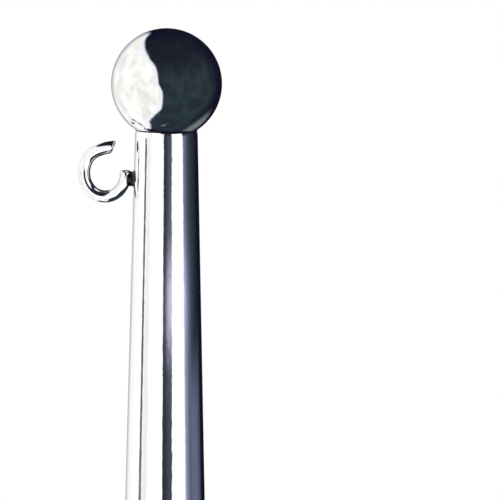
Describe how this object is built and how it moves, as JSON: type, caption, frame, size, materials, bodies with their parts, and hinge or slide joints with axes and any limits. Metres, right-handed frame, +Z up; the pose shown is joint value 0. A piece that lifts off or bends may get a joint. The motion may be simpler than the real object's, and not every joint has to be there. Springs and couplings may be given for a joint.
{
  "type": "ball-topped flagpole",
  "caption": "Short mirror-polished steel flagpole with a ball on top, a tapered head, open ring hooks for the flag's corners, and a bolted round foot.",
  "frame": {"origin": "centre of the foot flange's flat underside, on the pole's axis", "axes": "+Z up along the pole's axis, -X towards the flag hooks, -Y towards the front"},
  "size_m": [0.1, 0.1, 0.8],
  "materials": {
    "mirror_steel": "stainless steel, mirror-polished",
    "hook_steel": "stainless round bar, bent and polished",
    "foot_steel": "stainless steel, turned and polished",
    "screw_steel": "plain stainless fasteners",
    "weld_metal": "ground and polished weld metal"
  },
  "bodies": {
    "root": {"base_flange": "foot_steel", "base_socket": "foot_steel", "socket_weld": "weld_metal", "clamp_screw_right": "screw_steel", "clamp_screw_back": "screw_steel", "stem_tube": "mirror_steel", "stem_seam": "weld_metal", "head_tube": "mirror_steel", "ball_weld": "weld_metal", "ball_finial": "mirror_steel", "upper_hook": "hook_steel", "upper_hook_boss": "hook_steel", "upper_hook_weld": "weld_metal", "lower_hook": "hook_steel", "lower_hook_boss": "hook_steel", "lower_hook_weld": "weld_metal"}
  },
  "joints": []
}
